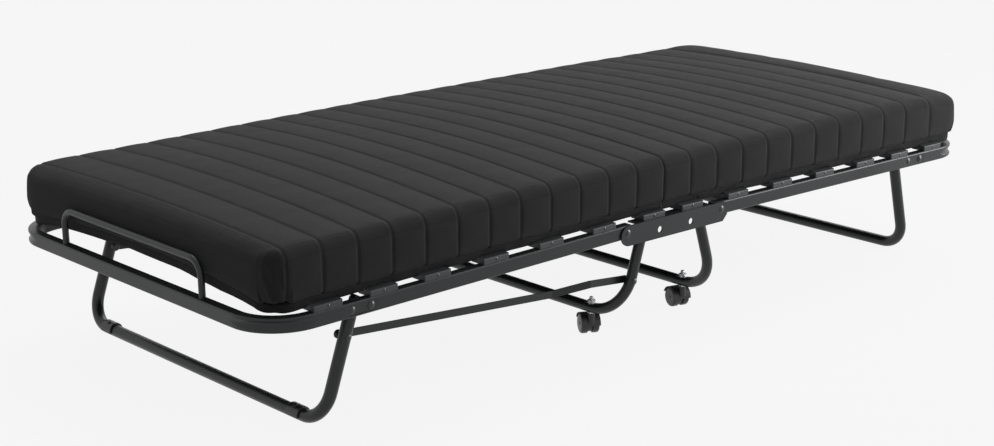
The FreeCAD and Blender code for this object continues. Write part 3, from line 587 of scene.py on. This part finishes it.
def gather(piece):
    """Waves the lining's edge in and out, and lets it sag between the caps."""
    points = get_points(piece.data)
    outward = normals_of(piece.data)
    edge_y = np.clip((np.abs(points[:, 1]) - half_width + 0.030) / 0.020, 0, 1)
    edge_x = np.clip((np.abs(points[:, 0]) - half_length + 0.030) / 0.020, 0, 1)
    edge = np.maximum(edge_y, edge_x)
    from_slat = np.abs(points[:, 0][:, None] - slat_middles[None, :]).min(1)
    between = np.clip((from_slat - 0.0288) / 0.0015, 0, 1)
    low = np.clip((cover_bottom - points[:, 2]) / (cover_bottom - lining_bottom), 0, 1)
    wave = 0.0020 * noise_at(points, (38, 38, 90), (1.7, 0.2, 5.5)) - 0.001 * low
    level = np.stack([outward[:, 0], outward[:, 1], np.zeros(len(points))], 1)
    points = points + level * (wave * edge)[:, None]
    sag = 0.0050 + 0.0012 * noise_at(points, (24, 24, 0), (8.8, 2.1, 0.5))
    points[:, 2] -= low * edge * between * np.clip(sag, 0, 1)
    loose_end = 0.0018 + 0.0045 * noise_at(points, (0, 11, 0), (0.4, 0.6, 2.5))
    points[:, 2] -= low * edge_x * loose_end
    return points


set_points(lining.data, follow_frame(gather(lining)))
lining_halves = cut_in_two(lining, ["mattress_lining_head", "mattress_lining_foot"])
# Black, and darker than the cover's knit: the extra darkness is painted shade of the recessed hem under
# the cover's side.
lining_cloth_with_painted_shade = charcoal_knit("black_lining_painted_shade", (0.006, 0.006, 0.007), (0.010, 0.010, 0.011), 0.75)
for half, body, side in ((lining_halves[0], "head_half", -1), (lining_halves[1], "foot_half", 1)):
    half.data.materials.append(lining_cloth_with_painted_shade)
    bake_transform(half)


# ---- Floor, light and camera ---------------------------------------------------------------
# A pale floor that runs out past the view, a broad soft lamp high on the foot side, a weaker one
# low beside the foot end, and an even pale surround.

pale = 0.938                    # the surround and the floor, as the camera sees them
shadow_share = 0.05             # how much of the floor's own light and shadow shows through


def sees_pale(parts, links):
    """1 for what the camera, gloss and glass see, 0 for the light that falls on the object."""
    path = parts.new("ShaderNodeLightPath")
    gloss = parts.new("ShaderNodeMath")
    gloss.operation = "MAXIMUM"
    links.new(path.outputs["Is Camera Ray"], gloss.inputs[0])
    links.new(path.outputs["Is Glossy Ray"], gloss.inputs[1])
    glass = parts.new("ShaderNodeMath")
    glass.operation = "MAXIMUM"
    links.new(gloss.outputs["Value"], glass.inputs[0])
    links.new(path.outputs["Is Transmission Ray"], glass.inputs[1])
    return glass.outputs["Value"]


def pale_floor():
    """Matt floor, pale to the camera, darkened a little by the bed's soft shadow."""
    material, parts, links, shader = new_material("pale_floor")
    shader.inputs["Base Color"].default_value = (0.64, 0.64, 0.64, 1.0)
    shader.inputs["Roughness"].default_value = 1.0
    shader.inputs["Specular IOR Level"].default_value = 0.0
    glow = parts.new("ShaderNodeEmission")
    glow.inputs["Color"].default_value = (pale, pale, pale, 1.0)
    share = parts.new("ShaderNodeMath")
    share.operation = "MULTIPLY"
    share.inputs[1].default_value = 1.0 - shadow_share
    links.new(sees_pale(parts, links), share.inputs[0])
    mix = parts.new("ShaderNodeMixShader")
    links.new(share.outputs["Value"], mix.inputs["Fac"])
    links.new(shader.outputs["BSDF"], mix.inputs[1])
    links.new(glow.outputs["Emission"], mix.inputs[2])
    links.new(mix.outputs["Shader"], parts["Material Output"].inputs["Surface"])
    return material


floor_form = bmesh.new()
bmesh.ops.create_grid(floor_form, x_segments=1, y_segments=1, size=40.0)
floor = mesh_piece("floor", floor_form)
floor.data.materials.append(pale_floor())

surround = bpy.data.worlds.new("surround")
surround.use_nodes = True
sky, sky_links = surround.node_tree.nodes, surround.node_tree.links
dim = sky["Background"]
dim.inputs["Color"].default_value = (1.0, 1.0, 1.0, 1.0)
dim.inputs["Strength"].default_value = 0.37
bright = sky.new("ShaderNodeBackground")
bright.inputs["Color"].default_value = (pale, pale, pale, 1.0)
bright.inputs["Strength"].default_value = 1.0
either = sky.new("ShaderNodeMixShader")
sky_links.new(sees_pale(sky, sky_links), either.inputs["Fac"])
sky_links.new(dim.outputs["Background"], either.inputs[1])
sky_links.new(bright.outputs["Background"], either.inputs[2])
sky_links.new(either.outputs["Shader"], sky["World Output"].inputs["Surface"])
bpy.context.scene.world = surround


def soft_sun(name, towards, spread, strength):
    """A lamp as broad as a large diffuser: parallel, so the whole floor gets the same light."""
    data = bpy.data.lights.new(name, "SUN")
    data.angle = math.radians(spread)
    data.energy = strength
    light = bpy.data.objects.new(name, data)
    light.rotation_euler = Vector(towards).to_track_quat("Z", "Y").to_euler()
    light.location = Vector(towards) * 3
    bpy.context.scene.collection.objects.link(light)


def soft_box(name, place, aim, size, power):
    data = bpy.data.lights.new(name, "AREA")
    data.shape = "SQUARE"
    data.size = size
    data.energy = power
    light = bpy.data.objects.new(name, data)
    light.location = place
    light.rotation_euler = (Vector(aim) - Vector(place)).to_track_quat("-Z", "Y").to_euler()
    bpy.context.scene.collection.objects.link(light)


soft_sun("key", (0.55, 0.35, 0.90), 50.0, 1.85)
soft_box("side", (2.3, -1.6, 0.9), (0.6, -0.3, 0.2), 1.4, 52.0)

camera_data = bpy.data.cameras.new("camera")
camera_data.sensor_width = 36.0
camera_data.lens = 70.07
camera = bpy.data.objects.new("camera", camera_data)
heading = Matrix.Rotation(math.radians(48.14 - 90), 3, "Z")
tilt = Matrix.Rotation(math.radians(90 - 15.47), 3, "X")
roll = Matrix.Rotation(-0.00275, 3, "Z")
camera.location = (-2.5080, -2.7144, 1.1512)
camera.rotation_euler = (heading @ tilt @ roll).to_euler()
bpy.context.scene.collection.objects.link(camera)
bpy.context.scene.camera = camera
bpy.context.scene.view_settings.view_transform = "Standard"
